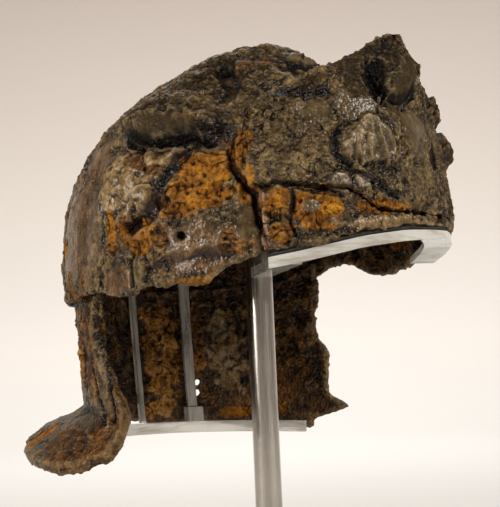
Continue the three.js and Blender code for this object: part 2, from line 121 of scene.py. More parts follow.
# The crust's relief in millimetres, and the least share of it that smoother skin keeps.
RAG_SIZE = 11
RAG_SHARE = 0.5
PATCH_EDGE = (-0.14, 0.22)
WANDER_SIZE = 7
WANDER_REACH = 1.3
BROKEN_SIZE = 34
BROKEN_EDGE = (-0.35, 0.45)
WIDE_SIZE = 34
WIDE_HEIGHT = 0.8
ROCK_SIZE = 15
ROCK_HEIGHT = 1.6
ROCK_LEAST = 0.2
FLAKE_SIZE = 10
FLAKE_DRIFT = 2.2
FLAKE_HEIGHT = 1.5
FLAKE_LEAST = 0.35
TAN_FLAKE_HEIGHT = 0.6
CHIP_SIZE = 4.2
CHIP_DRIFT = 1.5
CHIP_SHARE = 0.5
FINE_SIZE = 3.0
FINE_HEIGHT = 0.6
GRAIN_SIZE = 2.8
GRAIN_DRIFT = 0.5
GRAIN_LEVEL = 0.55
PIT_SIZE = 4.6
PIT_EDGE = (0.42, 0.8)
PEAK_SIZE = 4

# How far each kind of rust counts as smooth or as grainy skin. Tan keeps a little of the flaky skin.
SMOOTH_KINDS = {"grey": 1.0, "smooth": 1.0, "pale": 1.0, "olive": 1.0, "dark": 0.6, "pink": 0.8}
GRAINY_KINDS = {"orange": 1.0, "amber": 1.0, "ochre": 1.0, "brown": 0.7}
TAN_SHARE = 0.8

# How much of a relief shows on any skin, on flaky skin and on grainy skin.
GRAIN_SHARES = (0.15, 0.6, 0.8)
PIT_SHARES = (0.15, 0.5, 0.9)

# What a point's hollow, crack or crest says to the material: painted shade in hollows and cracks, and a
# painted highlight on crests.
HOLLOW_STEPS = 10
HOLLOW_DEPTH = 1.0
CREASE_STEPS = 2
CREASE_DEPTH = 0.4
CREASE_SHARE = 0.5
CREST_SHARE = 0.5
CRACK_SHADOW = 0.45
INSIDE_CRACKS = 0.25

# Ragged patches of one kind of rust: a place, half sizes, a lean in degrees, and how far they stand.
Patch = namedtuple("Patch", "kind turn height across up lean rise")
PATCHES = [
    Patch("tan", 88, 34, 25, 17, 0, 1.8),
    Patch("brown", 80, 44, 14, 7, 10, 0.6),
    Patch("tan", 78, 24, 8, 10, 30, 2.4),
    Patch("tan", 74, 46, 12, 6, 0, 1.0),
    Patch("orange", 60, 38, 18, 15, 0, -1.2),
    Patch("orange", 70, 20, 12, 7, 20, -0.8),
    Patch("orange", 51, 47, 8, 8, 0, -0.4),
    Patch("orange", 63, 23, 19, 8, 0, -1.0),
    Patch("orange", 49, 27, 5, 10, 0, -0.4),
    Patch("orange", 80, 6, 13, 11, 0, -0.6),
    Patch("orange", 91, 9, 4, 14, 0, 0.0),
    Patch("orange", 64, -19, 12, 3.5, 0, 0.4),
    Patch("grey", 60, -1, 28, 13, 0, 0.0),
    Patch("brown", 74, 4, 5, 8, -25, -1.0),
    Patch("brown", 52, 0, 9, 8, 0, 0.4),
    Patch("smooth", 49, 9, 8, 8, 0, -0.6),
    Patch("grey", 112, 12, 32, 36, 0, 0.0),
    Patch("grey", 89, -14, 12, 9, 0, 0.6),
    Patch("grey", 108, 52, 20, 14, 30, 0.0),
    Patch("olive", 76, 61, 27, 6, 3, 1.2),
    # Painted shade: near-black laid along the crevice under the shelf.
    Patch("dark", 70, 54, 22, 3.2, 3, -1.0),
    # Partly painted shade: darker umber on an upward face.
    Patch("umber", 74, 71, 31, 7, 12, 0.8),
    Patch("pink", 45.3, 18, 2.2, 8, 0, 0.3),
    Patch("pink", 44.6, 4, 1.6, 11, 0, 0.0),
    Patch("orange", 41, 17, 6.5, 9.5, 0, 0.8),
    Patch("orange", 40, 4, 7, 5, 0, 0.4),
    Patch("orange", 30, 12, 13.5, 11, 0, 0.4),
    Patch("amber", 41, 18, 3.5, 6, 0, 0.2),
    Patch("amber", 27, 13, 8, 6, 0, 0.2),
    Patch("smooth", 32, 15, 6, 3.6, -10, 0.3),
    Patch("orange", 13, 15, 17, 4, 0, -0.3),
    Patch("tan", 4, 6, 42, 4.4, 2, 0.5),
    Patch("smooth", 29, 63, 9, 8, 0, 0.2),
    Patch("smooth", 17, 68, 10, 10, 20, 0.5),
    # Partly painted shade: darker umber on an upward face.
    Patch("umber", 8, 88, 30, 14, 0, 0.0),
    # Painted shade: near-black laid in the niche around the boss.
    Patch("dark", 9, 79, 6, 9, 0, -2.0),
    Patch("olive", 0, 79, 11, 10, 0, 2.4),
    Patch("smooth", -2, 55, 12, 12, 0, 0.6),
    # Partly painted sheen: the shell's pale tone stands in for the gloss on its ribs.
    Patch("pale", 14, 47, 12, 11, 0, 1.6),
    Patch("pale", 24, 27, 5, 4.0, 0, 0.8),
    Patch("pale", 17, 28, 5, 3.6, 20, 1.0),
    Patch("umber", -21, 69, 6, 7, 0, 4.5),
    Patch("umber", -32, 52, 6, 7, 0, 3.5),
    # Partly painted shade: darker umber on an upward face.
    Patch("umber", 13, 100, 8, 4, 0, 3.0),
    Patch("olive", 81, -10, 4, 6, 0, 2.0),
    # Painted shade: near-black laid in a niche near the right edge.
    Patch("dark", -15, 44, 5, 7, 0, -2.0),
    # Partly painted shade: darker umber on an upward face.
    Patch("umber", 34, 100, 44, 14, 0, 0.0),
    # Partly painted shade: darker umber on an upward face.
    Patch("umber", 62, 82, 22, 9, 20, 0.0),
    Patch("brown", 42, 97, 13, 5, 0, 0.0),
    Patch("orange", 124, 7, 5, 5, 0, 0.0),
    Patch("brown", 116, -44, 22, 34, 0, 0.0),
    Patch("orange", 123, -58, 4, 13, 0, 1.2),
    Patch("brown", 140, -60, 8, 30, 0, 0.0),
    Patch("orange", 128, -95, 10, 8, 0, 0.0),
    Patch("brown", 98, -80, 10, 16, 0, 0.4),
    Patch("brown", 106, -99, 26, 13, 0, 0.4),
    Patch("brown", 107, -109, 14, 3.5, 0, 0.0),
    Patch("ochre", 191, -50, 16, 36, 0, 0.0),
    Patch("ochre", 204, -58, 9, 12, 0, 0.0),
    Patch("ochre", 188, -86, 14, 6, 0, 0.0),
    Patch("tan", 217, -56, 11, 26, 10, 0.0),
    Patch("brown", 205, -38, 8, 16, 0, 0.0),
    Patch("brown", 241, -60, 12, 30, 0, 0.0),
    Patch("grey", 150, 28, 34, 30, 20, 0.0),
    Patch("brown", 185, 62, 30, 16, 10, 0.0),
    Patch("orange", 208, 22, 15, 9, 15, -0.7),
    Patch("grey", 236, 42, 26, 24, 0, 0.0),
    Patch("tan", 262, 22, 18, 12, 0, 1.0),
    # Partly painted shade: darker umber on an upward face.
    Patch("umber", 240, 86, 40, 18, 0, 0.0),
    Patch("orange", 286, 12, 14, 8, -10, -0.6),
    Patch("brown", 300, 44, 18, 16, 0, 0.0),
    Patch("orange", 227, -92, 22, 4, 0, 0.0),
]

# Cracks, and ridges where the rise is positive: width and rise in millimetres, and places on the way.
Line = namedtuple("Line", "name width rise places")
LINES = [
    Line("crevice", 4.2, -6.5, [(89, 58), (80, 52), (75, 52), (66, 54), (61, 51), (56, 52)]),
    Line("pocket", 6.5, -6.0, [(60, 54), (57, 55)]),
    Line("shelf_lip", 5.5, 5.0, [(94, 67), (84, 66), (76, 67), (66, 65), (61, 63)]),
    Line("crust_edge", 3.2, -4.2, [(67, 50), (70, 43), (74, 33), (75, 23), (77, 17), (84, 11)]),
    Line("plate_crack", 1.9, -4.0, [(53, 54), (54, 45), (53, 37), (47, 22), (46, 14), (45, -6)]),
    Line("seam", 1.8, -3.2, [(45, 25), (42, 27), (34, 25), (29, 22), (24, 21)]),
    Line("slant_crack", 1.8, -2.4, [(24, 34), (18, 31), (14, 26), (6, 19)]),
    Line("back_crack", 1.8, -2.6, [(96, 28), (95, 20), (95, -1), (96, -16)]),
    Line("plate_split", 1.6, -2.4, [(84, -6), (83, -18)]),
    Line("bright_fold", 2.2, 1.4, [(72, -4), (67, -2), (62, -2), (54, 0)]),
    Line("fold_shadow", 2.4, -1.2, [(78, -10), (69, -8), (62, -7), (53, -7)]),
    Line("cleft", 4.0, -6.0, [(63, 97), (57, 89), (54, 82), (58, 75)]),
    Line("arc", 4.0, 2.5, [(52, 97), (39, 95), (30, 85), (24, 76)]),
    Line("arc_shadow", 3.0, -3.6, [(42, 84), (37, 74), (30, 72), (25, 73)]),
    Line("rib_1", 1.7, 1.9, [(16, 57), (20, 50), (22, 39)]),
    Line("rib_2", 1.7, 1.9, [(15, 57), (18, 48), (19, 37)]),
    Line("rib_3", 1.7, 1.9, [(15, 57), (15, 47), (15, 36)]),
    Line("rib_4", 1.7, 1.9, [(14, 56), (12, 47), (10, 36)]),
    Line("rib_5", 1.7, 1.9, [(13, 56), (9, 47), (7, 39)]),
    Line("boss_rim", 3.4, -5.0, [(10, 85), (9, 77), (7, 68), (1, 68), (-4, 74)]),
    Line("shell_shadow", 2.4, -3.5, [(23, 53), (25, 46), (25, 40), (21, 35)]),
    Line("peephole", 1.6, -7.0, [(67.5, 4.8), (67.4, 4.5)]),
    Line("neck_split", 1.6, -3.0, [(113, -60), (110.4, -67), (110.3, -74), (107, -80), (103, -88)]),
    Line("neck_cleft", 2.2, -5.0, [(106.3, -33), (104.8, -46.5), (101.7, -59.6), (99.9, -75),
                                   (99.1, -85.5)]),
    Line("lobe_swirl_1", 1.4, 1.2, [(116, -90), (108, -90), (102, -95), (101, -101)]),
    Line("lobe_swirl_2", 1.4, 1.2, [(113, -94), (107, -94), (105, -99), (109, -101)]),
    Line("stroke", 1.4, 1.2, [(7, 55), (4, 48), (1, 42)]),
    Line("block_gap_1", 1.3, -2.2, [(37, 24), (37, 16), (38, 7), (37, 1)]),
    Line("block_gap_2", 1.3, -2.0, [(44, 12), (41, 9), (38, 9)]),
    Line("curl", 1.6, 1.6, [(51, 20), (51, 27), (50, 31), (48, 27), (48, 21)]),
    Line("ledge", 2.5, 2.0, [(80, 49), (74, 49), (69, 50)]),
    Line("band_lip", 2.0, 1.0, [(42, 1), (31, 0), (19, 7), (5, 9), (-14, 13)]),
    Line("rim_lip", 2.0, 0.9, [(109, -21), (98, -19), (87, -24)]),
]
KINDS = ["orange", "amber", "brown", "ochre", "umber", "grey", "tan", "pale", "smooth", "olive", "pink",
         "dark"]


def hashed(cell, seed):
    """A repeatable whole number for each row of whole numbers."""
    first, second, third, last = HASH_STEPS
    mixed = cell[:, 0] * first + cell[:, 1] * second + cell[:, 2] * third + seed * last
    mixed = (mixed ^ (mixed >> 13)) & WORD
    mixed = (mixed * HASH_MIX) & WORD
    return mixed ^ (mixed >> 16)


def spread_of(number):
    """Three numbers between -1 and 1 from each hashed number."""
    parts = [(number >> shift) & DRAW_TOP for shift in (0, 10, 20)]
    return np.stack(parts, axis=1) / (DRAW_TOP / 2) - 1.0


def noise(points, size, seed=0):
    """Smooth noise of about -1 to 1 whose lumps are size millimetres apart."""
    scaled = points / size
    cell = np.floor(scaled).astype(np.int64)
    inside = scaled - cell
    weight = inside ** 3 * (inside * (inside * 6 - 15) + 10)
    total = np.zeros(len(points))
    for corner in np.ndindex(2, 2, 2):
        step = np.array(corner)
        slope = spread_of(hashed(cell + step, seed))
        share = np.where(step == 1, weight, 1 - weight).prod(axis=1)
        total += share * ((inside - step) * slope).sum(axis=1)
    return total * NOISE_GAIN


def rough(points, size, octaves=4, seed=0):
    """Noise with finer noise laid on it."""
    total = np.zeros(len(points))
    for octave in range(octaves):
        total += noise(points, size / 2 ** octave, seed + octave) / 2 ** octave
    return total


def scattered(points, size, seed):
    """Each point's way from the scattered middles around it, in cells, and each middle's own draw."""
    scaled = points / size
    cell = np.floor(scaled).astype(np.int64)
    for corner in np.ndindex(3, 3, 3):
        neighbour = cell + np.array(corner) - 1
        draw = spread_of(hashed(neighbour, seed))
        yield scaled - (neighbour + 0.5 + SCATTER * draw), draw


def lumps(points, size, seed=0):
    """Distance to the nearest of scattered points, 0 at a lump's middle and about 1 between lumps."""
    nearest = np.full(len(points), FAR_AWAY)
    for away, _ in scattered(points, size, seed):
        nearest = np.minimum(nearest, (away ** 2).sum(axis=1))
    return np.sqrt(nearest)


def shards(points, size, seed=0):
    """Heights of broken flakes about -1 to 1: every cell of size millimetres is a small tilted plane."""
    nearest = np.full(len(points), FAR_AWAY)
    height = np.zeros(len(points))
    for away, draw in scattered(points, size, seed):
        distance = (away ** 2).sum(axis=1)
        plane = SHARD_STEP * draw[:, 0] + SHARD_TILT * (away * draw[:, ::-1]).sum(axis=1)
        height = np.where(distance < nearest, plane, height)
        nearest = np.minimum(distance, nearest)
    return height


def eased(value, low, high):
    """0 below low, 1 above high, and a smooth step between them."""
    share = np.clip((value - low) / (high - low), 0, 1)
    return share * share * (3 - 2 * share)


def turns_of(points):
    """Each point's turn in degrees from the front towards the wearer's right."""
    return np.degrees(np.arctan2(-points[:, 0] / SIDE_REACH, -points[:, 1] / FRONT_REACH))


def shape_at(points):
    """The skull's reach along y at each point, and the point's height over the brow."""
    length = np.where(points[:, 1] < 0, FRONT_REACH, BACK_REACH)
    return length, np.maximum(points[:, 2] - BROW_LEVEL, 0)


def outward(points):
    """Unit direction away from the skull's inside at each point."""
    length, above = shape_at(points)
    slope = np.stack([points[:, 0] / SIDE_REACH ** 2, points[:, 1] / length ** 2,
                      above / CROWN_REACH ** 2], axis=1)
    return slope / np.maximum(np.linalg.norm(slope, axis=1, keepdims=True), 1e-9)


def near_side(points, first, last):
    """Whether each point lies on the outside between two turns."""
    turn = turns_of(points)
    length, above = shape_at(points)
    reach = np.sqrt((points[:, 0] / SIDE_REACH) ** 2 + (points[:, 1] / length) ** 2
                    + (above / CROWN_REACH) ** 2)
    return (turn > first) & (turn < last) & (reach > OUTSIDE_REACH)


def joined_surface(names):
    """One search tree over the CAD nodes named, in millimetres."""
    points = []
    faces = []
    for name in names:
        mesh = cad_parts[name].data
        first = len(points)
        points += [v.co / MM for v in mesh.vertices]
        faces += [[first + i for i in face.vertices] for face in mesh.polygons]
    return BVHTree.FromPolygons(points, faces)


HELMET_SURFACE = joined_surface(["skull_bowl", "diadem", "brow_band", "neck_guard"])


def place(turn, height):
    """The point of the helmet's outside at a turn in degrees from the front and a height over the brow."""
    angle = math.radians(turn)
    length = FRONT_REACH if math.cos(angle) > 0 else BACK_REACH
    away = Vector((-SIDE_REACH * math.sin(angle), -length * math.cos(angle), 0)).normalized()
    start = away * RAY_START + Vector((0, 0, BROW_LEVEL + height))
    hit = HELMET_SURFACE.ray_cast(start, -away)[0]
    if hit is None:
        raise ValueError(f"no surface at turn {turn}, height {height}")
    return np.array(hit)


def patch_share(points, patch, ragged):
    """1 inside a patch and 0 outside it, with an edge broken by the ragged noise."""
    centre = place(patch.turn, patch.height)
    out = outward(centre[None])[0]
    across = np.cross(out, (0, 0, 1))
    across /= np.linalg.norm(across)
    up = np.cross(across, out)
    lean = math.radians(patch.lean)
    along = across * math.cos(lean) + up * math.sin(lean)
    over = up * math.cos(lean) - across * math.sin(lean)
    away = points - centre
    distance = np.hypot(away @ along / patch.across, away @ over / patch.up)
    near = np.abs(away @ out) < SIDE_SLACK
    return near * eased(1.0 - distance + ragged * RAG_SHARE, *PATCH_EDGE)


def line_distance(points, places):
    """Distance in millimetres from each point to the line through the places."""
    stops = [place(turn, height) for turn, height in places]
    nearest = np.full(len(points), 1e9)
    for a, b in zip(stops, stops[1:]):
        way = b - a
        share = np.clip((points - a) @ way / (way @ way), 0, 1)
        nearest = np.minimum(nearest, np.linalg.norm(points - a - share[:, None] * way, axis=1))
    return nearest


def plain_mesh(name, source):
    """A mesh object with its own copy of the CAD node's mesh."""
    made = bpy.data.objects.new(name, source.data.copy())
    bpy.context.scene.collection.objects.link(made)
    return made


def even_mesh(node, voxel, fine_turns=None):
    """Points in millimetres and triangles of a CAD node, cut evenly and twice as fine between two turns."""
    work = plain_mesh("work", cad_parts[node])
    remesh = work.modifiers.new("even", "REMESH")
    remesh.mode = "VOXEL"
    remesh.voxel_size = voxel * MM
    graph = bpy.context.evaluated_depsgraph_get()
    even = bpy.data.meshes.new_from_object(work.evaluated_get(graph))
    bpy.data.objects.remove(work)
    shape = bmesh.new()
    shape.from_mesh(even)
    if fine_turns is not None:
        centres = np.array([face.calc_center_median() for face in shape.faces]) / MM
        chosen = {edge for face, inside in zip(shape.faces, near_side(centres, *fine_turns)) if inside
                  for edge in face.edges}
        bmesh.ops.subdivide_edges(shape, edges=list(chosen), cuts=1, use_grid_fill=True)
    bmesh.ops.triangulate(shape, faces=shape.faces[:])
    points = np.array([vertex.co for vertex in shape.verts]) / MM
    faces = np.array([[vertex.index for vertex in face.verts] for face in shape.faces])
    shape.free()
    return points, faces


def neighbour_mean(values, faces):
    """Mean of each point's neighbours, for one or more columns of values."""
    a = faces.ravel()
    b = np.roll(faces, -1, axis=1).ravel()
    count = np.bincount(a, minlength=len(values)) + np.bincount(b, minlength=len(values))
    columns = [np.bincount(a, values[b, k], len(values)) + np.bincount(b, values[a, k], len(values))
               for k in range(values.shape[1])]
    return np.stack(columns, axis=1) / np.maximum(count, 1)[:, None]


def smoothed(points, faces, passes):
    """Points relaxed towards their neighbours and back, so that thin walls keep their size."""
    for turn in range(passes * 2):
        pull = RELAX_PULL if turn % 2 == 0 else RELAX_PUSH
        points = points + pull * (neighbour_mean(points, faces) - points)
    return points


def normals(points, faces):
    """Unit normal at each point."""
    corner = points[faces]
    face = np.cross(corner[:, 1] - corner[:, 0], corner[:, 2] - corner[:, 0])
    total = np.stack([np.bincount(faces.ravel(), np.repeat(face[:, k], 3), len(points))
                      for k in range(3)], axis=1)
    return total / np.maximum(np.linalg.norm(total, axis=1, keepdims=True), 1e-12)


def hollowness(points, faces, normal, passes, scale):
    """How far each point lies below (positive) or above its wider surroundings, as a share of scale."""
    wide = points
    for _ in range(passes):
        wide = neighbour_mean(wide, faces)
    return ((wide - points) * normal).sum(axis=1) / scale


def held_in_box(points):
    """Points kept inside the CAD model's box."""
    low = np.array(CAD_BOX[0]) / MM + BOX_MARGIN
    high = np.array(CAD_BOX[1]) / MM - BOX_MARGIN
    return np.clip(points, low, high)


def dressed(piece, node):
    """Ties a piece to the body and hides the CAD node that it stands for."""
    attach(piece, "root")
    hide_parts(node)
    return piece


def mesh_piece(name, points, faces, node, material, shares=None):
    """A smooth-shaded piece from millimetre points, standing for a CAD node, with one share per point."""
    mesh = bpy.data.meshes.new(name)
    mesh.from_pydata((points * MM).tolist(), [], faces.tolist())
    mesh.shade_smooth()
    for kind, values in (shares or {}).items():
        layer = mesh.attributes.new(kind, "FLOAT", "POINT")
        layer.data.foreach_set("value", values.astype(np.float32))
    mesh.materials.append(material)
    piece = bpy.data.objects.new(name, mesh)
    bpy.context.scene.collection.objects.link(piece)
    return dressed(piece, node)


def rust_patches(points):
    """The share of each kind of rust at each point, and how far the patches stand there."""
    ragged = rough(points, RAG_SIZE, octaves=3, seed=3)
    shares = {kind: np.zeros(len(points)) for kind in KINDS}
    form = np.zeros(len(points))
    for patch in PATCHES:
        share = patch_share(points, patch, ragged)
        for kind in KINDS:
            shares[kind] *= 1 - share
        shares[patch.kind] = np.maximum(shares[patch.kind], share)
        form += patch.rise * share
    return shares, form


def drawn_lines(points):
    """How deep the cracks cut and how far the ridges stand at each point."""
    cracks = np.zeros(len(points))
    ridges = np.zeros(len(points))
    for line in LINES:
        profile = line.rise * np.exp(-(line_distance(points, line.places) / line.width) ** 2)
        if line.rise < 0:
            cracks = np.minimum(cracks, profile)
        else:
            ridges += profile
    return cracks, ridges


def skin_share(shares, kinds):
    """How much of the skin at each point is of the kinds that a table weighs."""
    return np.clip(sum(weight * shares[kind] for kind, weight in kinds.items()), 0, 1)


def crust_relief(points, wander, shares):
    """Height of the crust's rocks, flakes, grain and pits at each point."""
    smooth = skin_share(shares, SMOOTH_KINDS)
    grainy = skin_share(shares, GRAINY_KINDS)
    flaky = np.clip(1 - smooth - grainy - TAN_SHARE * shares["tan"], 0, 1)

    def shown(least, on_flaky, on_grainy):
        return least + on_flaky * flaky + on_grainy * grainy

    wide = rough(points, WIDE_SIZE, octaves=2, seed=40)
    rocky = rough(points + wander, ROCK_SIZE, octaves=5, seed=46)
    flakes = shards(points + FLAKE_DRIFT * wander, FLAKE_SIZE, seed=50)
    flakes += CHIP_SHARE * shards(points + CHIP_DRIFT * wander, CHIP_SIZE, seed=60)
    broken = eased(noise(points, BROKEN_SIZE, seed=44), *BROKEN_EDGE)
    fine = rough(points, FINE_SIZE, octaves=2, seed=80)
    grain = GRAIN_LEVEL - lumps(points + GRAIN_DRIFT * wander, GRAIN_SIZE, seed=85)
    pits = -eased(noise(points, PIT_SIZE, seed=90), *PIT_EDGE)
    relief = WIDE_HEIGHT * wide + (ROCK_LEAST + (1 - ROCK_LEAST) * (1 - smooth)) * ROCK_HEIGHT * rocky
    relief += flaky * (FLAKE_LEAST + (1 - FLAKE_LEAST) * broken) * FLAKE_HEIGHT * flakes
    relief += shares["tan"] * TAN_FLAKE_HEIGHT * flakes
    relief += shown(*GRAIN_SHARES) * (FINE_HEIGHT * fine + grain)
    relief += shown(*PIT_SHARES) * pits
    return relief


def iron_piece(name, node, material, voxel, fine_turns=None):
    """One corroded iron piece: its CAD form with cracks, crust, pits and its patches of rust."""
    points, faces = even_mesh(node, voxel, fine_turns)
    points = smoothed(points, faces, IRON_PASSES)
    normal = normals(points, faces)
    out = outward(points)
    outer = eased((normal * out).sum(axis=1), *OUTSIDE_SLOPE)
    shares, form = rust_patches(points)
    wander = np.stack([noise(points, WANDER_SIZE, seed=20 + k) for k in range(3)], axis=1) * WANDER_REACH
    cracks, ridges = drawn_lines(points + wander)
    relief = crust_relief(points, wander, shares)
    lift = form + ridges + np.where(outer > 0.5, cracks, INSIDE_CRACKS * cracks)
    if node == "diadem":
        high = eased(points[:, 2] - BROW_LEVEL, *PLATE_THIN_HEIGHTS)
        lift -= PLATE_THIN * outer * high * eased(turns_of(points), *PLATE_THIN_TURNS)
    if node == "neck_guard":
        relief *= 1 - FLANGE_CALM * eased(BROW_LEVEL - points[:, 2], *FLANGE_DEPTHS)
    points = held_in_box(points + out * lift[:, None] + normal * relief[:, None])
    if node == "diadem":
        worn = PEAK_LEVEL + PEAK_WEAR * noise(points, PEAK_SIZE, seed=95)
        points[:, 2] = np.minimum(points[:, 2], worn)
    normal = normals(points, faces)
    hollow = hollowness(points, faces, normal, HOLLOW_STEPS, HOLLOW_DEPTH)
    crease = hollowness(points, faces, normal, CREASE_STEPS, CREASE_DEPTH)
    # Painted shade: this share darkens the colour in hollows, creases and cracks.
    sunk = np.maximum(hollow + CREASE_SHARE * crease, -CRACK_SHADOW * cracks * outer)
    shares["shade_in_hollows"] = np.clip(sunk, 0, 1)
    # Painted highlight: this share lightens the colour on crests.
    shares["highlight_on_crests"] = np.clip(-CREST_SHARE * (hollow + crease), 0, 1)
    shares["inner"] = 1 - outer
    return mesh_piece(name, points, faces, node, material, shares)


class Shader:
    """A new node material, with short calls for the nodes it is made of."""

    def __init__(self, name):
        self.material = bpy.data.materials.new(name)
        self.material.use_nodes = True
        self.tree = self.material.node_tree
        self.surface = self.tree.nodes["Principled BSDF"]
        self.place = self.tree.nodes.new("ShaderNodeTexCoord").outputs["Object"]

    def set(self, socket, value):
        """Links a node's output, or puts a plain value, on one of the surface's sockets."""
        self.put(self.surface.inputs[socket], value)

    def put(self, socket, value):
        """Links a node's output, or puts a plain value, on a socket."""
        if isinstance(value, bpy.types.NodeSocket):
            self.tree.links.new(value, socket)
        else:
            socket.default_value = value

    def share(self, name):
        """A share stored on the mesh's points."""
        node = self.tree.nodes.new("ShaderNodeAttribute")
        node.attribute_name = name
        return node.outputs["Fac"]

    def stretched(self, scale):
        """The object's place with each axis multiplied."""
        node = self.tree.nodes.new("ShaderNodeMapping")
        node.inputs["Scale"].default_value = scale
        self.put(node.inputs["Vector"], self.place)
        return node.outputs["Vector"]

    def noise(self, size, detail=5.0, roughness=0.6, twist=0.0, vector=None):
        """Noise whose lumps are size millimetres apart."""
        node = self.tree.nodes.new("ShaderNodeTexNoise")
        node.inputs["Scale"].default_value = 1 / (size * MM)
        node.inputs["Detail"].default_value = detail
        node.inputs["Roughness"].default_value = roughness
        node.inputs["Distortion"].default_value = twist
        self.put(node.inputs["Vector"], vector or self.place)
        return node.outputs["Fac"]

    def warped(self, size, reach):
        """The object's place pushed about by noise of a size, both in millimetres."""
        node = self.tree.nodes.new("ShaderNodeTexNoise")
        node.inputs["Scale"].default_value = 1 / (size * MM)
        node.inputs["Detail"].default_value = 2.0
        self.put(node.inputs["Vector"], self.place)
        push = self.tree.nodes.new("ShaderNodeVectorMath")
        push.operation = "MULTIPLY_ADD"
        self.put(push.inputs[0], node.outputs["Color"])
        push.inputs[1].default_value = (reach * MM,) * 3
        self.put(push.inputs[2], self.place)
        return push.outputs["Vector"]

    def cells(self, size, feature="F1", vector=None):
        """Distance pattern of cells size millimetres apart."""
        node = self.tree.nodes.new("ShaderNodeTexVoronoi")
        node.feature = feature
        node.inputs["Scale"].default_value = 1 / (size * MM)
        self.put(node.inputs["Vector"], vector or self.place)
        return node.outputs["Distance"]

    def ramp(self, factor, *stops):
        """A colour ramp with (place, colour) stops."""
        node = self.tree.nodes.new("ShaderNodeValToRGB")
        while len(node.color_ramp.elements) < len(stops):
            node.color_ramp.elements.new(0.5)
        for element, (where, colour) in zip(node.color_ramp.elements, stops):
            element.position = where
            element.color = (*colour, 1)
        self.put(node.inputs["Fac"], factor)
        return node.outputs["Color"]

    def mix(self, factor, a, b, blend="MIX"):
        """Two colours mixed by a factor."""
        node = self.tree.nodes.new("ShaderNodeMix")
        node.data_type = "RGBA"
        node.blend_type = blend
        self.put(node.inputs[0], factor)
        self.put(node.inputs[6], a)
        self.put(node.inputs[7], b)
        return node.outputs[2]

    def maths(self, kind, a, b=0.0, c=0.0, clamp=False):
        """One sum on numbers."""
        node = self.tree.nodes.new("ShaderNodeMath")
        node.operation = kind
        node.use_clamp = clamp
        for socket, value in zip(node.inputs, (a, b, c)):
            self.put(socket, value)
        return node.outputs["Value"]

    def between(self, value, low, high, to_low=0.0, to_high=1.0):
        """A value moved from one range to another and held there."""
        node = self.tree.nodes.new("ShaderNodeMapRange")
        for socket, number in zip(node.inputs, (value, low, high, to_low, to_high)):
            self.put(socket, number)
        return node.outputs["Result"]

    def bump(self, height, distance, strength=1.0):
        """Sets the surface's normal from a height in millimetres."""
        node = self.tree.nodes.new("ShaderNodeBump")
        node.inputs["Distance"].default_value = distance * MM
        node.inputs["Strength"].default_value = strength
        self.put(node.inputs["Height"], height)
        self.put(self.surface.inputs["Normal"], node.outputs["Normal"])
        self.put(self.surface.inputs["Coat Normal"], node.outputs["Normal"])


# Each kind of rust as a dark, a middle and a light colour, and its roughness.
Rust = namedtuple("Rust", "kind dark middle light roughness")
RUSTS = [
    Rust("tan", (0.026, 0.014, 0.004), (0.175, 0.104, 0.035), (0.44, 0.30, 0.14), 0.40),
    Rust("grey", (0.016, 0.008, 0.002), (0.078, 0.040, 0.013), (0.25, 0.150, 0.070), 0.37),
    Rust("smooth", (0.028, 0.017, 0.006), (0.078, 0.051, 0.021), (0.18, 0.13, 0.07), 0.36),
    # Pale is the chips' own light tone, and on the shell a painted sheen.
    Rust("pale", (0.024, 0.015, 0.006), (0.125, 0.084, 0.040), (0.46, 0.36, 0.23), 0.36),
    # Umber on upward faces is partly the crust's dark tone and partly painted shade.
    Rust("umber", (0.006, 0.003, 0.001), (0.036, 0.019, 0.004), (0.115, 0.064, 0.016), 0.56),
    Rust("olive", (0.010, 0.005, 0.001), (0.034, 0.020, 0.004), (0.10, 0.062, 0.018), 0.56),
    Rust("orange", (0.075, 0.023, 0.002), (0.240, 0.086, 0.005), (0.50, 0.22, 0.014), 0.70),
    Rust("amber", (0.110, 0.034, 0.002), (0.380, 0.145, 0.006), (0.62, 0.29, 0.02), 0.66),
    Rust("brown", (0.020, 0.007, 0.001), (0.095, 0.036, 0.004), (0.28, 0.12, 0.02), 0.55),
    Rust("ochre", (0.090, 0.030, 0.004), (0.340, 0.150, 0.030), (0.60, 0.34, 0.11), 0.70),
    Rust("pink", (0.160, 0.070, 0.030), (0.380, 0.200, 0.105), (0.62, 0.42, 0.28), 0.50),
    # Dark is a painted shade for crevices and niches rather than a rust of its own.
    Rust("dark", (0.004, 0.002, 0.0005), (0.016, 0.008, 0.002), (0.05, 0.027, 0.008), 0.62),
]
BARE = Rust("bare", (0.016, 0.009, 0.002), (0.086, 0.050, 0.014), (0.27, 0.18, 0.065), 0.44)
INNER = Rust("inner", (0.008, 0.003, 0.001), (0.060, 0.024, 0.004), (0.24, 0.10, 0.015), 0.65)

# The iron's fine skin: sizes and heights in millimetres.
BLOTCH_SIZE = 14
TINT_SIZE = 4.0
SPECK_SIZE = 1.3
SPECK_HEIGHT = 0.5
CRAG_SIZE = 5.5
CRAG_HEIGHT = 2.8
GRIT_SIZE = 1.8
GRIT_WARP = (2.5, 1.6)
GRIT_HEIGHT = 0.9
CRACK_SIZE = 11
CRACK_WARP = (11, 14)
CRACK_DEPTH = 0.8
CRACK_WIDTHS = (0.010, 0.065)
CRACK_ZONE_SIZE = 26
CRACK_ZONE = (0.45, 0.53)
CRACK_LIMIT = 0.5
CRACK_SHADE = 0.9

# Kinds with a still skin: no fine cracks, and this much of the grit. Orange keeps this much.
STILL_KINDS = ("grey", "smooth", "pale", "olive", "tan")
STILL_GRIT = 0.25
ORANGE_GRIT = 0.7

